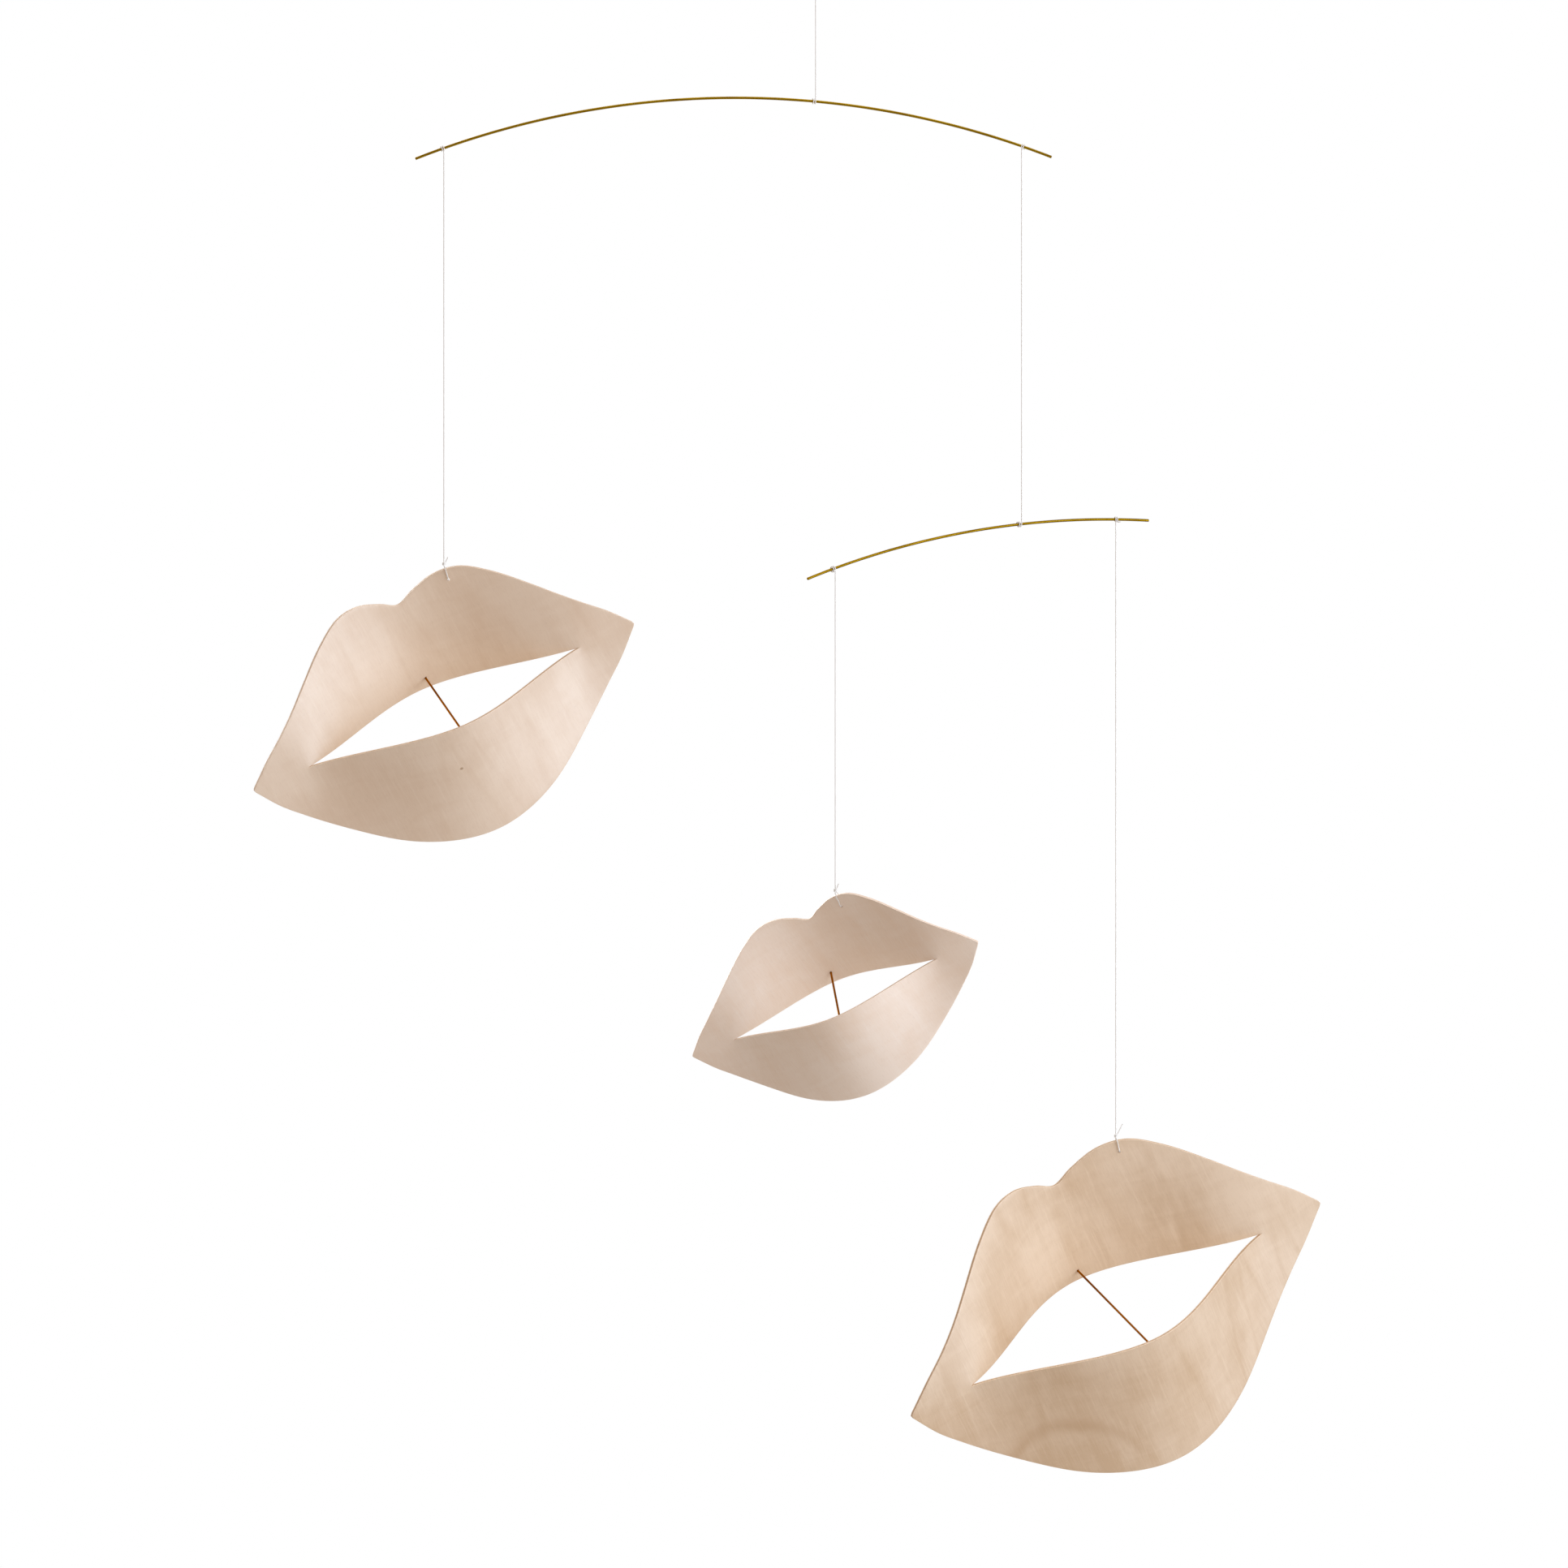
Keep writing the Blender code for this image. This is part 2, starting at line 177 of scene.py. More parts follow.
class Arm:
    """A rod bent to an arc in an upright plane, tilted and turned about the place where it hangs."""

    def __init__(self, span, bend_radius, hung_at, tilt, turn, line):
        self.span = span
        self.bend_radius = bend_radius
        self.axes = turned("Z", turn) @ turned("Y", -tilt)
        self.front = self.axes @ np.array([0, -1, 0])
        self.start = np.asarray(line, float) - WRAP_RADIUS * self.front - self.axes @ self.rise(hung_at)

    def rise(self, along):
        """Places on the arc over its chord.

        The height is the root of radius squared less along squared, less the same root at the ends.
        """
        along = np.asarray(along, float)
        ends = np.sqrt(self.bend_radius**2 - (self.span / 2) ** 2)
        return np.stack([along, 0 * along, np.sqrt(self.bend_radius**2 - along**2) - ends], -1)

    def at(self, along):
        """The rod's centre at these places along the chord."""
        return self.start + self.rise(along) @ self.axes.T

    def line(self, along):
        """The place in front of the rod where a thread hitched here leaves it."""
        return self.at(along) + WRAP_RADIUS * self.front

    def hitch(self, along, way, side):
        """Helix round the rod, from the thread's tail to where it leaves up (way 1) or down (way -1)."""
        out = unit(self.axes @ np.array([along, 0, np.sqrt(self.bend_radius**2 - along**2)]))
        run = np.cross(out, self.front)
        share = np.linspace(1, 0, HITCH_STEPS)[:, None]
        angle = 2 * np.pi * HITCH_TURNS * share
        around = self.front * np.cos(angle) - out * way * np.sin(angle)
        turns = self.at(along) + around * WRAP_RADIUS + run * side * HITCH_PITCH * HITCH_TURNS * share
        return np.vstack([turns[0] + self.front * TAIL, turns[0] + self.front * TAIL / 2, turns])


class Lip:
    """A blank cut to a mouth's outline and slit along its middle, its flaps sprung apart by a pin."""

    def __init__(self, form, line, drop):
        width, self.spread, turn, self.hole_aside, self.head_aside, self.foot_aside = form
        self.half = width / 2
        knot = self.at(self.hole_aside, self.edge(self.hole_aside, 1) + KNOT_RISE, 1)
        roll = np.degrees(np.arcsin(knot[0] / np.linalg.norm(knot)))
        tilt = np.degrees(np.arctan2(knot[1], knot[2]))
        self.axes = turned("Z", turn) @ turned("Y", -roll) @ turned("X", tilt)
        self.hung = above(line, -drop)
        self.shift = self.hung - self.axes @ knot

    def edge(self, across, side):
        """Height of the outline over the slit: cubic pieces between its points, level at the middle."""
        shares, heights = np.array(TOP_EDGE if side > 0 else BOTTOM_EDGE).T
        slopes = np.gradient(heights, shares)
        slopes[0] = 0
        at = np.minimum(np.abs(across) / self.half, 1)
        return cubic(shares, heights, slopes, at) * self.half

    def spring(self, x, z, side):
        """How far the sheet is sprung: to the back for side 1, to the front for side -1.

        Half the spread times one less (1.5 + hold) reach squared plus (0.5 + hold) reach cubed, the curve
        of a strip pushed at its middle. hold is 0 for ends that turn freely and 1.5 for clamped ends.
        reach is 0 at the middle and 1 beyond the slit's ends, constant along hyperbolas that have the
        slit's ends as foci.
        """
        slit = SLIT_SHARE * self.half
        whole = (x * x + z * z) / slit**2 + 1
        inner = np.sqrt(np.maximum(whole**2 - 4 * (x / slit) ** 2, 0))
        reach = np.sqrt(np.maximum((whole - inner) / 2, 0))
        hold = 1.5 * END_HOLD_SHARE
        return side * self.spread / 2 * (1 - (1.5 + hold) * reach**2 + (0.5 + hold) * reach**3)

    def at(self, x, z, side, offset=0.0):
        """Places on the sheet's middle surface, or offset from it along its normal towards the back."""
        near = self.half / 1000
        lean_x = (self.spring(x + near, z, side) - self.spring(x - near, z, side)) / (2 * near)
        lean_z = (self.spring(x, z + near, side) - self.spring(x, z - near, side)) / (2 * near)
        normal = unit(np.stack([-lean_x, np.ones_like(lean_x), -lean_z], -1))
        place = np.stack(np.broadcast_arrays(x, self.spring(x, z, side), z), -1)
        return place + np.asarray(offset)[..., None] * normal

    def world(self, places):
        """The lip's own places, turned and hung."""
        return places @ self.axes.T + self.shift

    def pin_meets(self, side):
        """Where the pin meets the front of the upper flap for side 1, or the back of the lower for -1."""
        x, z = self.head_aside if side > 0 else self.foot_aside, side * PIN_INSET
        return np.array([x, self.spring(x, z, side) - side * SHEET_THICKNESS / 2, z])

    def pin_end(self, side, depth):
        """A place on the pin's line, this deep in the upper flap for side 1 or the lower for side -1."""
        met = self.pin_meets(side)
        return met + depth * unit(met - self.pin_meets(-side))


def cubic(stations, values, slopes, at):
    """A smooth curve through the values at the stations, with the given slopes there.

    With t the share of the gap between two stations, ease is 3 t squared less 2 t cubed, and the bend is
    t times 1 - t times the slopes weighed by 1 - t and t.
    """
    k = np.clip(np.searchsorted(stations, at, side="right") - 1, 0, len(stations) - 2)
    span = stations[k + 1] - stations[k]
    t = (at - stations[k]) / span
    if values.ndim > 1:
        span, t = span[:, None], t[:, None]
    ease = t * t * (3 - 2 * t)
    bend = span * t * (1 - t) * (slopes[k] * (1 - t) - slopes[k + 1] * t)
    return values[k] * (1 - ease) + values[k + 1] * ease + bend


def run_along(path):
    """Length along the path up to each of its points."""
    return np.concatenate([[0], np.cumsum(np.linalg.norm(np.diff(path, axis=0), axis=1))])


def smooth_path(points, step):
    """A smooth line through the points: cubic pieces with the points' own mean slopes, evenly stepped."""
    points = np.asarray(points, float)
    chord = run_along(points)
    fine = np.linspace(0, chord[-1], int(chord[-1] / step * 2))
    line = cubic(chord, points, np.gradient(points, chord, axis=0), fine)
    run = run_along(line)
    even = np.linspace(0, run[-1], int(run[-1] / step))
    return np.stack([np.interp(even, run, line[:, axis]) for axis in range(3)], -1)


def frames(path):
    """Two crossways directions at each point that don't spin as they are carried along the path.

    Any crossways direction is taken at each point, and the slip between it and the one carried over
    from the point before is summed up and turned back.
    """
    ahead = unit(np.gradient(path, axis=0))
    steep = np.abs(ahead[:, 2:]) > 0.9
    first = unit(np.cross(ahead, np.where(steep, [1.0, 0, 0], [0, 0, 1.0])))
    second = np.cross(ahead, first)
    swing = np.cross(ahead[:-1], ahead[1:])
    meet = 1 + (ahead[:-1] * ahead[1:]).sum(-1, keepdims=True)
    once = np.cross(swing, first[:-1])
    carried = first[:-1] + once + np.cross(swing, once) / meet
    slip = np.arctan2((carried * second[1:]).sum(-1), (carried * first[1:]).sum(-1))
    phase = np.concatenate([[0], np.cumsum(slip)])[:, None]
    across = first * np.cos(phase) + second * np.sin(phase)
    return across, np.cross(ahead, across)


def skin(name, points, maps, wrap_rows=False, caps=False):
    """A mesh from a grid of rows by columns of points whose columns close on themselves.

    maps holds, by name, the pair of map values at each corner of the grid, one column more than the
    points, and one row more where the rows close too. caps closes the first and last ring.
    """
    rows, columns = points.shape[:2]
    i, j = np.meshgrid(np.arange(rows if wrap_rows else rows - 1), np.arange(columns), indexing="ij")
    below, beside = (i + 1) % rows, (j + 1) % columns
    corners = [(i, j, i, j), (i, beside, i, j + 1), (below, beside, i + 1, j + 1), (below, j, i + 1, j)]
    faces = np.stack([row * columns + column for row, column, _, _ in corners], -1).reshape(-1, 4)
    values = {}
    for key, grid in maps.items():
        values[key] = np.stack([grid[row, column] for _, _, row, column in corners], 2).reshape(-1, 2)
    faces = faces.tolist()
    if caps:
        faces.append(list(range(columns)))
        faces.append(list(range(rows * columns - 1, (rows - 1) * columns - 1, -1)))
        for key, grid in maps.items():
            values[key] = np.vstack([values[key], grid[0, :columns], grid[-1, columns - 1 :: -1]])
    mesh = bpy.data.meshes.new(name)
    mesh.from_pydata(points.reshape(-1, 3).tolist(), [], faces)
    for key, pairs in values.items():
        mesh.uv_layers.new(name=key).data.foreach_set("uv", pairs.astype(np.float32).ravel())
    flat = points.reshape(-1, 3) - points.reshape(-1, 3).mean(0)
    quads = np.array(faces[: len(i.ravel())])
    a, b, c, d = (flat[quads[:, n]] for n in range(4))
    if (a * np.cross(b, c)).sum() + (a * np.cross(c, d)).sum() < 0:
        mesh.flip_normals()
    mesh.update()
    mesh.shade_smooth()
    obj = bpy.data.objects.new(name, mesh)
    bpy.context.scene.collection.objects.link(obj)
    return obj


def round_bar(name, path, radii, sides):
    """Rings of the given radii carried along the path, mapped by length and by share of the turn.

    Outward is one crossways direction times the angle's cosine plus the other times its sine.
    """
    across, up = frames(path)
    angle = np.linspace(0, 2 * np.pi, sides, endpoint=False)[:, None]
    outward = across[:, None] * np.cos(angle) + up[:, None] * np.sin(angle)
    rings = path[:, None] + np.broadcast_to(radii, (len(path), sides))[..., None] * outward
    along, round_it = np.meshgrid(run_along(path), np.linspace(0, 1, sides + 1), indexing="ij")
    return skin(name, rings, {"run": np.stack([along, round_it], -1)}, caps=True)


def chamfered(path, radius):
    """A bar's path with two near rings at each end, and the radii that break the end's edge."""
    ends = unit(path[[1, -2]] - path[[0, -1]]) * ROD_CHAMFER
    path = np.vstack([path[0], path[0] + ends[0], path[1:-1], path[-1] + ends[1], path[-1]])
    radii = np.full((len(path), 1), radius)
    radii[[0, -1]] = radius - ROD_CHAMFER
    return path, radii


def sheet_skin(name, lip):
    """The sprung sheet as one closed skin.

    Each row is a ring round the sheet's section from slit to outline: over the front, round the cut
    edge, over the back and round the slit's edge. The rows go once round the mouth by an angle:
    the slit is a thin ellipse, and the outline's width follows the cosine.
    """
    angle = np.linspace(0, 2 * np.pi, SHEET_STEPS_ROUND, endpoint=False)
    cosine, sine = np.cos(angle), np.sin(angle)
    side = np.where(angle < np.pi, 1.0, -1.0)
    slit = SLIT_SHARE * lip.half
    inner = np.stack([slit * cosine, SLIT_KERF / 2 * sine], -1)
    inward = -unit(np.stack([cosine / slit, sine / (SLIT_KERF / 2)], -1))
    x = lip.half * cosine
    height = np.where(side > 0, lip.edge(x, 1), lip.edge(x, -1))
    close = np.sqrt(np.clip((1 - np.abs(cosine)) / TIP_ROUND_SHARE, 0, 1))
    outer = np.stack([x, side * height * close], -1)
    ahead = np.roll(outer, -1, axis=0) - np.roll(outer, 1, axis=0)
    outward = unit(np.stack([ahead[:, 1], -ahead[:, 0]], -1))

    over = np.linspace(0, 1, SHEET_STEPS_OVER) ** 1.25
    corner = np.radians(np.linspace(0, 90, 5))[1:]
    rim = EDGE_ROUND * np.sin(corner)
    deep = EDGE_ROUND * (1 - np.cos(corner)) - SHEET_THICKNESS / 2
    flat = np.linspace(deep[-1], -deep[-1], 6)[1:-1]
    edge_out = np.concatenate([rim, np.full_like(flat, EDGE_ROUND), rim[::-1]])
    edge_through = np.concatenate([deep, flat, -deep[::-1]])
    none = np.zeros_like(over)
    still = np.zeros_like(edge_out)
    front = np.full_like(over, -SHEET_THICKNESS / 2)
    share = np.concatenate([over, still + 1, over[::-1], still])
    past_outline = np.concatenate([none, edge_out, none, still])
    past_slit = np.concatenate([none, still, none, edge_out])
    through = np.concatenate([front, edge_through, -front, -edge_through])
    on_edge = np.concatenate([none, still + 1, none, still + 1])

    slit_line = (inner - EDGE_ROUND * inward)[:, None]
    outline = (outer - EDGE_ROUND * outward)[:, None]
    flat_place = slit_line * (1 - share[:, None]) + outline * share[:, None]
    flat_place = flat_place + outward[:, None] * past_outline[:, None]
    flat_place = flat_place + inward[:, None] * past_slit[:, None]
    blank_x, blank_z = flat_place[..., 0], flat_place[..., 1]
    places = lip.at(blank_x, blank_z, side[:, None], through + 0 * blank_x)

    wrapped = np.pad(flat_place, ((0, 1), (0, 1), (0, 0)), mode="wrap")
    ply = np.stack(np.broadcast_arrays(through * 2 / SHEET_THICKNESS, on_edge), -1)
    ply = np.broadcast_to(ply, flat_place.shape)
    ply = np.pad(ply, ((0, 1), (0, 1), (0, 0)), mode="wrap")
    return skin(name, lip.world(places), {"blank": wrapped, "ply": ply}, wrap_rows=True)


def bored(obj, name, start, end, diameter, centre):
    """Cuts a round hole from start to end, its wall mapped as cut edge at this place of the blank."""
    path = start + (end - start) * np.linspace(0, 1, 5)[:, None]
    bar = round_bar(name, path, diameter / 2, BORE_SIDES)
    layer = bar.data.uv_layers[0]
    layer.name = "ply"
    along = np.zeros(len(layer.data) * 2, np.float32)
    layer.data.foreach_get("uv", along)
    along = along.reshape(-1, 2)
    along[:, 0] = along[:, 0] / np.linalg.norm(end - start) * 2 - 1
    along[:, 1] = 1
    layer.data.foreach_set("uv", along.ravel())
    place = np.tile(np.asarray(centre, np.float32), (len(layer.data), 1))
    bar.data.uv_layers.new(name="blank").data.foreach_set("uv", place.ravel())
    cut = obj.modifiers.new(name, "BOOLEAN")
    cut.operation = "DIFFERENCE"
    cut.solver = "EXACT"
    cut.object = bar
    return bar


def settle(obj, cutters):
    """Makes the cuts part of the mesh and takes the cutting bars away."""
    shaped = bpy.data.meshes.new_from_object(obj.evaluated_get(bpy.context.evaluated_depsgraph_get()))
    obj.modifiers.clear()
    obj.data = shaped
    shaped.shade_smooth()
    shaped.set_sharp_from_angle(angle=np.radians(50))
    for bar in cutters:
        bpy.data.objects.remove(bar)


# Finishes


class Finish:
    """A material's shader and a few ways to feed it."""

    def __init__(self, name, roughness, metallic=0.0):
        self.material = bpy.data.materials.new(name)
        self.material.use_nodes = True
        self.tree = self.material.node_tree
        self.shader = self.tree.nodes["Principled BSDF"]
        self.shader.inputs["Roughness"].default_value = roughness
        self.shader.inputs["Metallic"].default_value = metallic

    def node(self, kind, inputs=(), **settings):
        """A node with these settings; inputs maps a socket to a value or to another node's output."""
        made = self.tree.nodes.new(kind)
        for key, value in settings.items():
            setattr(made, key, value)
        for key, value in dict(inputs).items():
            if isinstance(value, bpy.types.NodeSocket):
                self.tree.links.new(value, made.inputs[key])
            else:
                made.inputs[key].default_value = value
        return made

    def feed(self, socket, output):
        self.tree.links.new(output, self.shader.inputs[socket])

    def parts_of(self, layer):
        """The two values of a map, each as a number."""
        source = self.node("ShaderNodeUVMap", uv_map=layer)
        split = self.node("ShaderNodeSeparateXYZ", {0: source.outputs[0]})
        return split.outputs[0], split.outputs[1]

    def maths(self, operation, a, b=0.0, c=0.0, clamp=False):
        made = self.node("ShaderNodeMath", {0: a, 1: b, 2: c}, operation=operation, use_clamp=clamp)
        return made.outputs[0]

    def stretched(self, x, y, x_scale, y_scale, seed):
        """A place for a pattern, from two numbers scaled apart and the pattern's seed."""
        return self.node("ShaderNodeCombineXYZ", {
            0: self.maths("MULTIPLY", x, x_scale),
            1: self.maths("MULTIPLY", y, y_scale),
            2: seed,
        }).outputs[0]

    def clouds(self, place, detail=3.0, roughness=0.5, distortion=0.0):
        """Noise from 0 to 1 about a half, one cell to each unit of place."""
        return self.node("ShaderNodeTexNoise", {
            "Vector": place, "Scale": 1.0, "Detail": detail,
            "Roughness": roughness, "Distortion": distortion,
        }).outputs[0]

    def band(self, value, low, high, to_low=0.0, to_high=1.0):
        """The value eased from low and high to the two new ends."""
        return self.node("ShaderNodeMapRange", {
            "Value": value, "From Min": low, "From Max": high, "To Min": to_low, "To Max": to_high,
        }, interpolation_type="SMOOTHSTEP").outputs[0]

    def mixed(self, share, a, b):
        """Colour a turned to colour b by the share."""
        node = self.node("ShaderNodeMix", data_type="RGBA")
        for index, value in ((0, share), (6, a), (7, b)):
            if isinstance(value, bpy.types.NodeSocket):
                self.tree.links.new(value, node.inputs[index])
            else:
                node.inputs[index].default_value = value if index == 0 else (*value, 1)
        return node.outputs[2]

    def bump(self, height, distance):
        made = self.node("ShaderNodeBump", {"Height": height, "Distance": distance, "Strength": 0.5})
        self.feed("Normal", made.outputs[0])


def scaled(colour, by):
    return tuple(by * part for part in colour)


def birch(name, pale, warm, seed, figure, knot=None, arch=None):
    """Rotary-cut birch whose grain runs up the blank and leans by GRAIN_LEAN times z.

    Each noise has its own cells to the metre in x and z. Growth lines are contours of the slow noise,
    and the rays lighten. A knot is a small brown oval at a place of the blank. An arch is a soft brown
    line where z is the arch's top less its steepness times the square of x from its middle. The wood is
    darker inside it. With an arch, the blank is also darker towards its lower left: painted shade. On
    the cut edge the three plies show by the place through the sheet, the middle one darker, and the
    edge's colours are set paler than the face's: painted light, standing in for light on the cut edges.
    """
    finish = Finish(name, 0.5)
    maths, band = finish.maths, finish.band
    x, z = finish.parts_of("blank")
    through, on_edge = finish.parts_of("ply")
    leaned = maths("MULTIPLY_ADD", z, GRAIN_LEAN, x)

    def noise(along, x_scale, z_scale, further, *how):
        return finish.clouds(finish.stretched(along, z, x_scale, z_scale, seed + further), *how)

    clouds = noise(x, 22, 12, 0, 3, 0.55, 0.6)
    streaks = noise(leaned, 150, 11, 3, 3, 0.55, 0.5)
    slow = noise(leaned, 15, 3, 5, 2, 0.4, 0.3)
    fibre = noise(leaned, 1500, 120, 7, 3, 0.65)
    pores = noise(leaned, 2300, 330, 11, 1, 0.5)
    rays = noise(leaned, 620, 26, 13, 2, 0.6)
    silk = noise(x, 38, 120, 17, 2, 0.6, 0.9)
    end_grain = noise(x, 1500, 1500, 23, 2)
    lines = maths("PINGPONG", maths("MULTIPLY_ADD", slow, 16, maths("MULTIPLY", fibre, 0.12)), 1)
    tone = band(clouds, 0.32, 0.7, 0.0, 0.5)
    for part, weight in (
        (band(streaks, 0.42, 0.7), figure * 0.7),
        (band(lines, 0.6, 1.0), figure),
        (maths("SUBTRACT", fibre, 0.5), 0.55),
        (maths("SUBTRACT", silk, 0.5), 0.52),
        (band(rays, 0.52, 0.72), -figure * 1.1),
    ):
        tone = maths("MULTIPLY_ADD", part, weight, tone)
    if arch:
        middle, top, steepness = arch
        aside = maths("SUBTRACT", x, middle)
        over = maths("SUBTRACT", z, top)
        under = maths("MULTIPLY_ADD", maths("MULTIPLY", aside, aside), steepness, over)
        wander = maths("MULTIPLY_ADD", clouds, ARCH_WANDER, maths("SUBTRACT", under, ARCH_WANDER / 2))
        line = band(maths("ABSOLUTE", wander), 0.0, ARCH_LINE, 1.0, 0.0)
        near = band(maths("ABSOLUTE", aside), 0.02, 0.055, 0.4, 0.0)
        inside = band(wander, -0.03, 0.0, 1.0, 0.0)
        tone = maths("MULTIPLY_ADD", maths("MULTIPLY", inside, near), 0.6, tone)
        # Painted shade: the blank is darkened towards its lower left, a shade that the lamps don't cast
        # there.
        low = band(z, -0.03, 0.02, 1.0, 0.0)
        painted_shade_leftward = band(x, -0.09, 0.05, 0.62, 0.0)
        tone = maths("MULTIPLY_ADD", low, painted_shade_leftward, tone)
    tone = maths("ADD", tone, 0.0, clamp=True)
    face = finish.mixed(tone, pale, warm)
    if arch:
        face = finish.mixed(maths("MULTIPLY", line, near), face, ARCH_BROWN)
    face = finish.mixed(band(pores, 0.6, 0.74, 0.0, 0.13), face, scaled(warm, 0.6))
    if knot:
        wide = maths("DIVIDE", maths("SUBTRACT", x, knot[0]), WOOD_KNOT_HALF_WIDTH)
        tall = maths("DIVIDE", maths("SUBTRACT", z, knot[1]), WOOD_KNOT_HALF_HEIGHT)
        reach = maths("MULTIPLY_ADD", wide, wide, maths("MULTIPLY", tall, tall))
        face = finish.mixed(band(reach, 0.3, 1.3, 0.75, 0.0), face, WOOD_KNOT_BROWN)
    middle_ply = band(maths("ABSOLUTE", through), 0.3, 0.42, 1.0, 0.0)
    # Painted light: the plies on the cut edge are real, but their colours are lifted above the face's to
    # stand in for light catching the edges.
    cut = finish.mixed(middle_ply, scaled(pale, 1.2), scaled(warm, 1.1))
    cut = finish.mixed(band(end_grain, 0.4, 0.75, 0.0, 0.3), cut, scaled(warm, 0.6))
    finish.feed("Base Color", finish.mixed(on_edge, face, cut))
    finish.feed("Roughness", band(fibre, 0.3, 0.7, 0.4, 0.52))
    finish.shader.inputs["IOR"].default_value = 1.6
    finish.shader.inputs["Specular IOR Level"].default_value = 1.0
    finish.bump(maths("MULTIPLY_ADD", pores, -0.5, fibre), 0.00005)
    return finish.material


def drawn_brass(name, bright, dull, seed):
    """Drawn brass: fine lines along the bar, and dull brown patches where it has been handled."""
    finish = Finish(name, 0.34, 1.0)
    finish.shader.inputs["Specular Tint"].default_value = (0.8, 0.54, 0.06, 1)
    run, turn = finish.parts_of("run")
    patches = finish.clouds(finish.stretched(run, turn, 42, 1.2, seed), 3, 0.6)
    lines = finish.clouds(finish.stretched(run, turn, 60, 46, seed + 5), 2, 0.5)
    worn = finish.band(patches, 0.42, 0.68)
    finish.feed("Base Color", finish.mixed(worn, bright, dull))
    finish.feed("Roughness", finish.band(patches, 0.3, 0.75, 0.26, 0.5))
    finish.bump(lines, 0.00002)
    return finish.material


def spun_thread(name):
    """White thread of two plies: the plies stand in the surface, and fine fibres cross them."""
    finish = Finish(name, 0.85)
    run, turn = finish.parts_of("run")
    fibres = finish.clouds(finish.stretched(run, turn, 3200, 9, 2.0), 2, 0.6)
    shade = finish.mixed(finish.band(fibres, 0.3, 0.7), (0.88, 0.9, 0.91), (0.81, 0.83, 0.84))
    finish.feed("Base Color", shade)
    finish.shader.inputs["Sheen Weight"].default_value = 0.15
    finish.bump(fibres, 0.00003)
    return finish.material


def plain(name, colour, roughness):
    finish = Finish(name, roughness)
    finish.shader.inputs["Base Color"].default_value = (*colour, 1)
    return finish.material


# Where everything hangs

hung = np.array([0, 0, -CEILING_DROP])
upper = Arm(UPPER_SPAN, UPPER_BEND_RADIUS, UPPER_HUNG_AT, UPPER_TILT, 0, hung)
lower_hung = above(upper.line(UPPER_RIGHT_THREAD_AT), -ARM_DROP)
lower = Arm(LOWER_SPAN, LOWER_BEND_RADIUS, LOWER_HUNG_AT, LOWER_TILT, LOWER_TURN, lower_hung)
left = Lip(LEFT_FORM, upper.line(UPPER_LEFT_THREAD_AT), LEFT_DROP)
small = Lip(SMALL_FORM, lower.line(LOWER_LEFT_THREAD_AT), SMALL_DROP)
large = Lip(LARGE_FORM, lower.line(LOWER_RIGHT_THREAD_AT), LARGE_DROP)


# Camera, level and far off. PIXEL is one pixel of the photo in metres at the mobile, and PICTURE_MIDDLE is
# how many pixels the picture's middle is to the right of the hook and above it.

PIXEL = 0.0004566
PICTURE_SIZE = 1932
PICTURE_MIDDLE = (-39, -1009.14)
CAMERA_AWAY = 40.0
SENSOR = 36
camera = bpy.data.objects.new("camera", bpy.data.cameras.new("camera"))
bpy.context.scene.collection.objects.link(camera)
camera.location = (PICTURE_MIDDLE[0] * PIXEL, -CAMERA_AWAY, PICTURE_MIDDLE[1] * PIXEL)
camera.rotation_euler = (np.pi / 2, 0, 0)
camera.data.sensor_width = SENSOR
camera.data.lens = SENSOR * CAMERA_AWAY / (PICTURE_SIZE * PIXEL)
camera.data.clip_end = 10 * CAMERA_AWAY
bpy.context.scene.camera = camera


# Threads


def coil(centre, bottom, start_angle, tail):
    """A knot's turns round the standing thread, a helix about Z, with the cut tail after them."""
    turned_by = np.linspace(0, KNOT_TURNS, KNOT_STEPS)[:, None]
    angle = start_angle + 2 * np.pi * turned_by
    outward = np.hstack([np.cos(angle), np.sin(angle), 0 * angle])
    turns = np.array([*centre, bottom]) + COIL_RADIUS * outward + KNOT_PITCH * turned_by * [0, 0, 1]
    end = turns[-1] + np.array([outward[-1, 0] * tail / 2, outward[-1, 1] * tail / 2, tail])
    return turns, np.vstack([(turns[-1] + end) / 2, end])


def down_to(top, bottom):
    """A straight run between two places, with near points that keep its ends from bowing."""
    shares = np.array([0.0015, 0.004, 0.012])
    length = np.linalg.norm(bottom - top)
    places = np.sort(np.concatenate([shares / length, np.linspace(0.15, 0.85, 8), 1 - shares / length]))
    return top + (bottom - top) * places[:, None]


def lip_loop(lip, tail):
    """Down in front of the sheet, through its hole, up behind it and round the thread above.

    Each place is its height over the outline and its side of the sheet, from -1 in front to 1 behind.
    """
    edge = lip.edge(lip.hole_aside, 1)
    places = np.array((
        (KNOT_RISE / 2, -0.7), (CLEARANCE, -1), (-HOLE_INSET / 2, -1), (CLEARANCE - HOLE_INSET, -1),
        (-HOLE_INSET, -0.6), (-HOLE_INSET, 0.6),
        (CLEARANCE - HOLE_INSET, 1), (-HOLE_INSET / 2, 1), (CLEARANCE, 1), (KNOT_RISE / 2, 0.7),
    ))
    strand = lip.world(lip.at(lip.hole_aside, edge + places[:, 0], 1, places[:, 1] * STRAND_OFFSET))
    back = strand[-1] - lip.hung
    turns, end = coil(lip.hung[:2], lip.hung[2], np.arctan2(back[1], back[0]), tail)
    return np.vstack([above(lip.hung, -THREAD_RADIUS), strand, turns, end])


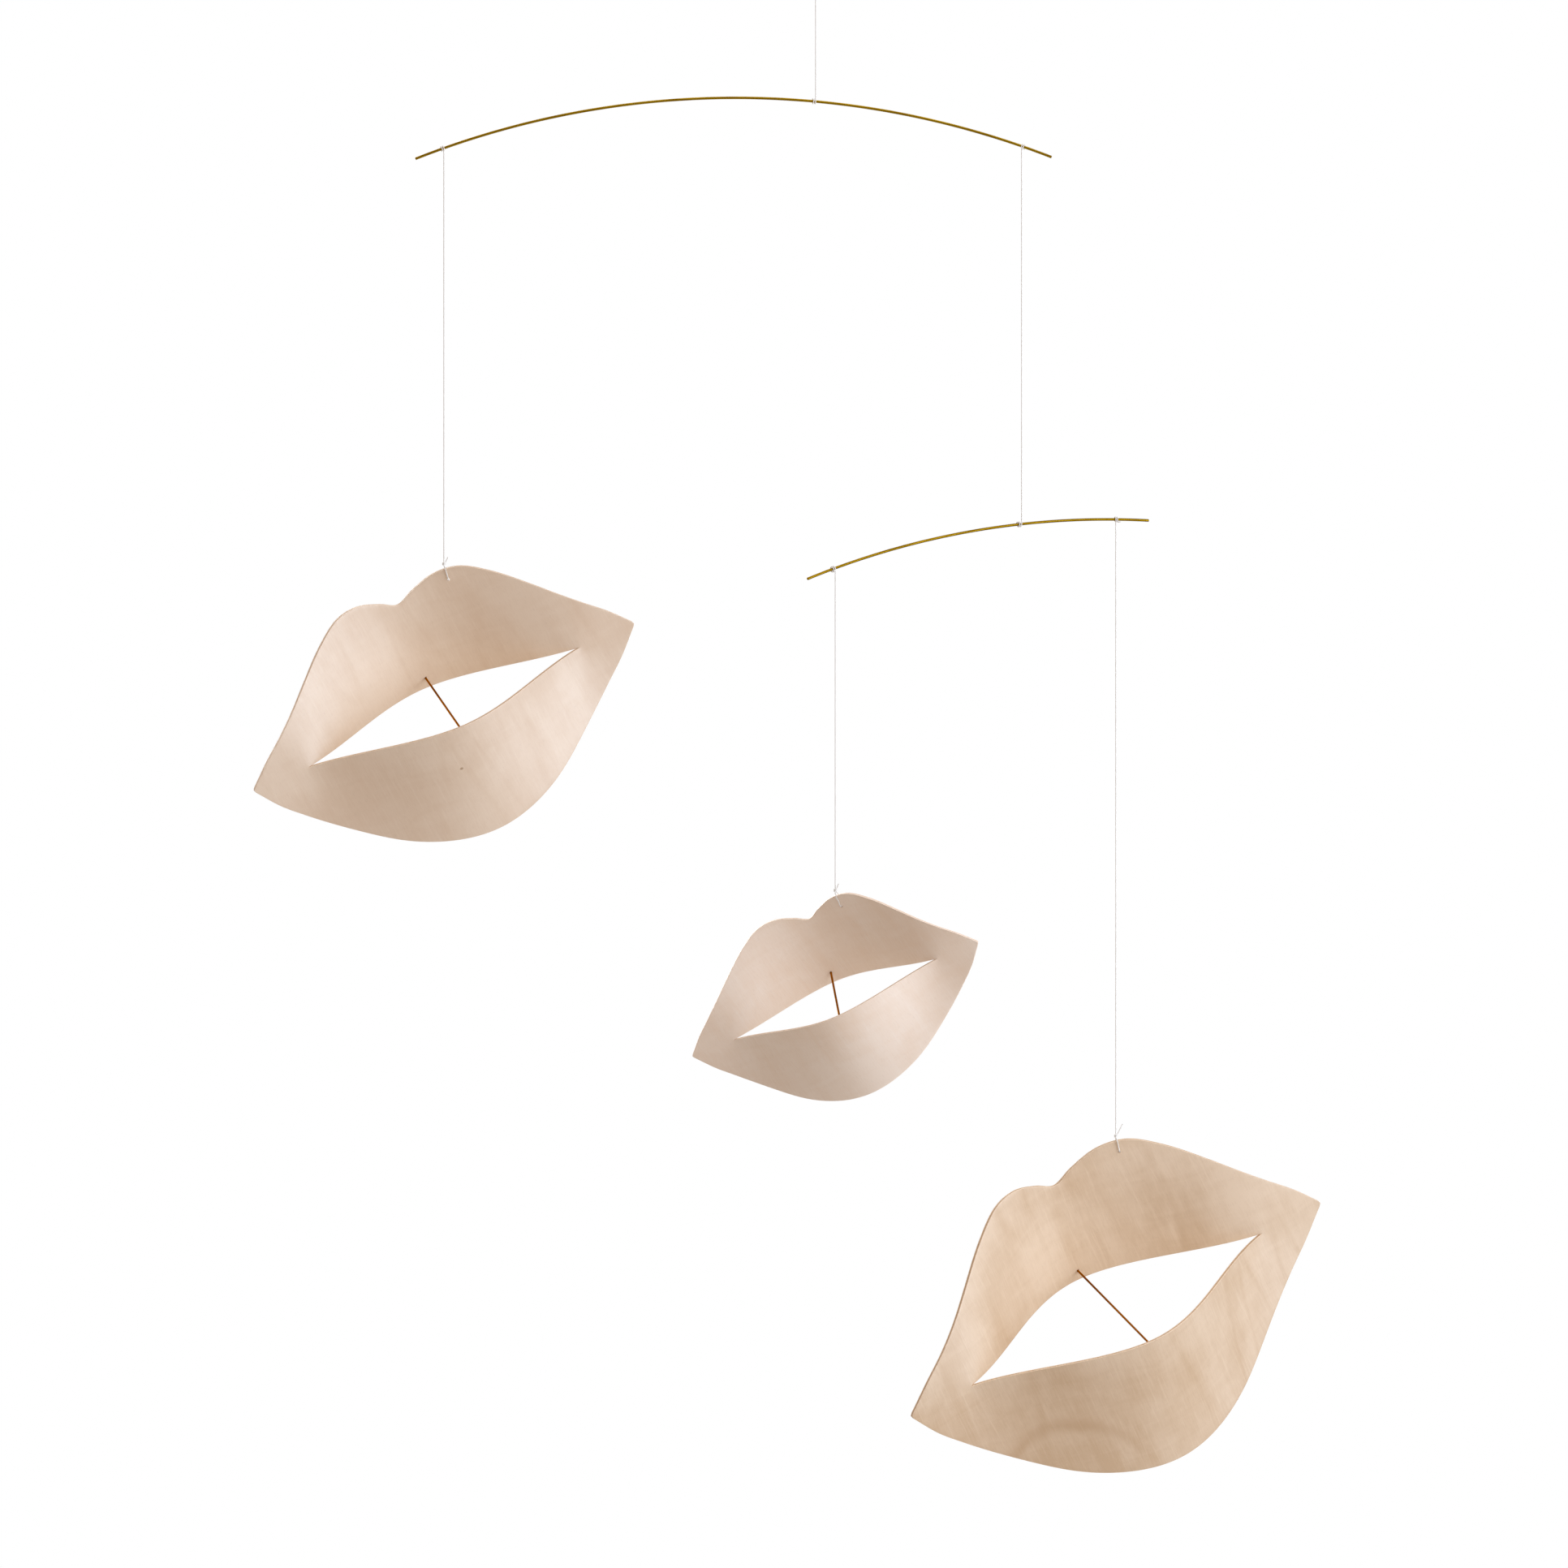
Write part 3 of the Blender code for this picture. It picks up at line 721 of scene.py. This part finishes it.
def ceiling_loop():
    """The hook's loop: cut tail, knot, an upright ellipse, then down the middle."""
    knot_top = THREAD_RADIUS - LOOP_HEIGHT - THREAD_DIAMETER * 3
    knot_bottom = knot_top - KNOT_TURNS * KNOT_PITCH
    turns, _ = coil((0, 0), knot_bottom, 2 * np.pi * (1 - KNOT_TURNS), TAIL)
    loose = turns[0] + np.array([0, TAIL / 2, -TAIL])
    share = np.linspace(0, 1, LOOP_STEPS)
    angle = np.radians(LOOP_OPENING / 2 - 90 + (360 - LOOP_OPENING) * share)
    centre = THREAD_RADIUS - LOOP_HEIGHT / 2
    tall = centre + LOOP_HEIGHT / 2 * np.sin(angle)
    loop = np.stack([LOOP_WIDTH / 2 * np.cos(angle), 0 * angle, tall], -1)
    return np.vstack([loose, (loose + turns[0]) / 2, turns, loop, [0, 0, knot_top + THREAD_DIAMETER]])


white = spun_thread("white thread")


def thread(name, points, nodes, start, end):
    """Two plies twisted together: the radius swells twice in a turn, and the swell runs along a helix."""
    path = smooth_path(points, THREAD_STEP)
    length = float(run_along(path)[-1])
    run = np.linspace(0, length, len(path))[:, None]
    angle = np.linspace(0, 2 * np.pi, THREAD_SIDES, endpoint=False)
    swell = np.abs(np.cos(angle - 2 * np.pi * run / PLY_PITCH))
    radii = THREAD_RADIUS * (1 - PLY_DEPTH_SHARE + PLY_DEPTH_SHARE * swell)
    obj = round_bar(name, path, radii, THREAD_SIDES)
    obj.data.materials.append(white)
    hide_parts(*nodes)
    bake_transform(obj)


def hanging(lip, word, arm, along, side, tail):
    """The thread from an arm's hitch down to a lip, through its hole and knotted."""
    hitch = arm.hitch(along, -1, side)
    points = np.vstack([hitch, down_to(hitch[-1], lip.hung), lip_loop(lip, tail)])
    nodes = (word + "_thread", word + "_knot")
    start, end = above(lip.hung, TWIST_FAR), above(lip.hung, TWIST_NEAR_LIP)
    thread(word + "_line", points, nodes, start, end)


ceiling_hitch = upper.hitch(UPPER_HUNG_AT, 1, -1)
loop = ceiling_loop()[::-1]
thread(
    "ceiling_line", np.vstack([ceiling_hitch, down_to(ceiling_hitch[-1], loop[0]), loop]),
    ("ceiling_thread", "ceiling_hitch"),
    above(hung, TWIST_NEAR_ROD), above(hung, TWIST_FAR),
)
arm_hitch = upper.hitch(UPPER_RIGHT_THREAD_AT, -1, 1)
lower_hitch = lower.hitch(LOWER_HUNG_AT, 1, -1)[::-1]
thread(
    "arm_line", np.vstack([arm_hitch, down_to(arm_hitch[-1], lower_hitch[0]), lower_hitch]),
    ("arm_thread", "arm_hitch"),
    above(lower_hung, TWIST_FAR), above(lower_hung, TWIST_NEAR_ROD),
)
hanging(left, "left", upper, UPPER_LEFT_THREAD_AT, -1, TAIL)
hanging(small, "small", lower, LOWER_LEFT_THREAD_AT, -1, TAIL)
hanging(large, "large", lower, LOWER_RIGHT_THREAD_AT, 1, LARGE_TAIL)


# Arms and pins


def bar(name, path, diameter, material, node, body, slot):
    path, radii = chamfered(path, diameter / 2)
    obj = round_bar(name, path, radii, BAR_SIDES)
    obj.data.set_sharp_from_angle(angle=np.radians(40))
    obj.data.materials.append(material)
    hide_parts(node)
    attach(obj, body)


def arm_rod(name, arm, bright, dull, seed):
    path = arm.at(arm.span * np.linspace(-0.5, 0.5, ARM_STEPS))
    material = drawn_brass(name + " brass", bright, dull, seed)
    bar(name + "_rod", path, ROD_DIAMETER, material, name, name, "brass")


arm_rod("upper_arm", upper, (0.42, 0.28, 0.01), (0.28, 0.165, 0.006), 1.0)
# Painted shade: the lower arm's brass is set darker than the upper arm's, to damp the key light's stronger
# reflection on it.
arm_rod("lower_arm", lower, (0.265, 0.16, 0.005), (0.185, 0.105, 0.003), 8.0)
for word, lip, seed in (("left", left, 2.0), ("small", small, 5.0), ("large", large, 9.0)):
    ends = lip.world(np.array([lip.pin_end(-1, PIN_DEPTH), lip.pin_end(1, PIN_DEPTH)]))
    path = ends[0] + (ends[1] - ends[0]) * np.linspace(0, 1, PIN_STEPS)[:, None]
    browned = drawn_brass(word + " pin brass", (0.4, 0.14, 0.01), (0.26, 0.085, 0.007), seed)
    bar(word + "_pin_rod", path, PIN_DIAMETER, browned, word + "_pin", word + "_lip", "pin")


# Lips


def plywood_lip(word, lip, pale, warm, seed, figure, knot=None, arch=None):
    obj = sheet_skin(word + "_sheet", lip)
    x, z = lip.hole_aside, lip.edge(lip.hole_aside, 1) - HOLE_INSET
    through = lip.world(lip.at(x, z, 1, np.array([-1.0, 1.0]) * SHEET_THICKNESS))
    cutters = [bored(obj, word + "_thread_bore", through[0], through[1], HOLE_DIAMETER, (x, z))]
    for side, level in ((1, "upper"), (-1, "lower")):
        deep = PIN_DEPTH + CLEARANCE
        bed = lip.world(np.array([lip.pin_end(side, -SHEET_THICKNESS), lip.pin_end(side, deep)]))
        centre = (lip.head_aside if side > 0 else lip.foot_aside, side * PIN_INSET)
        bore = bored(obj, f"{word}_{level}_pin_bore", bed[0], bed[1], PIN_DIAMETER + CLEARANCE, centre)
        cutters.append(bore)
    settle(obj, cutters)
    obj.data.materials.append(birch(word + " birch", pale, warm, seed, figure, knot, arch))
    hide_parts(word + "_lip")
    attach(obj, word + "_lip")


plywood_lip("left", left, (0.735, 0.605, 0.48), (0.635, 0.475, 0.34), 3.0, 0.16, knot=(-0.0092, -0.0247))
# Painted light: the small lip's colours are partly its own paler birch, partly lifted to stand in for the
# key light it turns away from.
plywood_lip("small", small, (0.89, 0.79, 0.7), (0.8, 0.64, 0.505), 31.0, 0.13)
plywood_lip(
    "large", large, (0.735, 0.588, 0.44), (0.555, 0.388, 0.236), 57.0, 0.2, arch=(-0.063, -0.039, 15.4),
)


# Floor and light


def studio_floor():
    """A round slab well under the mobile: two rims, one over the other, each closed by a flat face."""
    turn = np.linspace(0, 2 * np.pi, FLOOR_SIDES, endpoint=False)
    rim = np.stack([FLOOR_RADIUS * np.cos(turn), FLOOR_RADIUS * np.sin(turn), 0 * turn], -1)
    rims = np.stack([above(rim, FLOOR_LEVEL - FLOOR_THICKNESS), above(rim, FLOOR_LEVEL)])
    obj = skin("floor", rims, {"plain": np.zeros((2, FLOOR_SIDES + 1, 2))}, caps=True)
    obj.data.shade_flat()
    obj.data.materials.append(plain("pale floor", (0.6, 0.58, 0.55), 0.8))


def area_light(name, place, size, power, colour=(1, 1, 1)):
    """A square soft light that faces the middle of the mobile."""
    lamp = bpy.data.lights.new(name, "AREA")
    lamp.size = size
    lamp.energy = power
    lamp.color = colour
    obj = bpy.data.objects.new(name, lamp)
    bpy.context.scene.collection.objects.link(obj)
    obj.location = place
    facing = unit(np.array(LIT_MIDDLE) - np.array(place))
    obj.rotation_euler = (np.arccos(-facing[2]), 0, np.arctan2(facing[1], facing[0]) - np.pi / 2)
    obj.visible_camera = False


def white_room():
    """White to the camera; as light and in reflections, a warm glow about two fifths as strong."""
    world = bpy.data.worlds.new("white room")
    bpy.context.scene.world = world
    world.use_nodes = True
    tree = world.node_tree
    seen = tree.nodes.new("ShaderNodeBackground")
    seen.inputs[1].default_value = 1.0
    seen.inputs[0].default_value = (1, 1, 1, 1)
    glow = tree.nodes["Background"]
    glow.inputs[0].default_value = (1, 0.76, 0.59, 1)
    glow.inputs[1].default_value = 0.385
    path = tree.nodes.new("ShaderNodeLightPath")
    mix = tree.nodes.new("ShaderNodeMixShader")
    tree.links.new(path.outputs["Is Camera Ray"], mix.inputs[0])
    tree.links.new(glow.outputs[0], mix.inputs[1])
    tree.links.new(seen.outputs[0], mix.inputs[2])
    tree.links.new(mix.outputs[0], tree.nodes["World Output"].inputs[0])


studio_floor()
white_room()
area_light("key", (2.7, -2.7, 0.1), 3.0, 56, (0.91, 0.94, 1))
area_light("right", (3.4, -1.0, -0.2), 2.4, 74, (0.8, 0.89, 1))
area_light("left", (-2.4, -2.9, -0.3), 2.4, 9)
area_light("back", (-1.5, 2.6, 0.5), 2.4, 92, (0.95, 1, 1))
area_light("top", (0.3, 0.1, 2.6), 2.0, 30)
bpy.context.scene.view_settings.view_transform = "Standard"
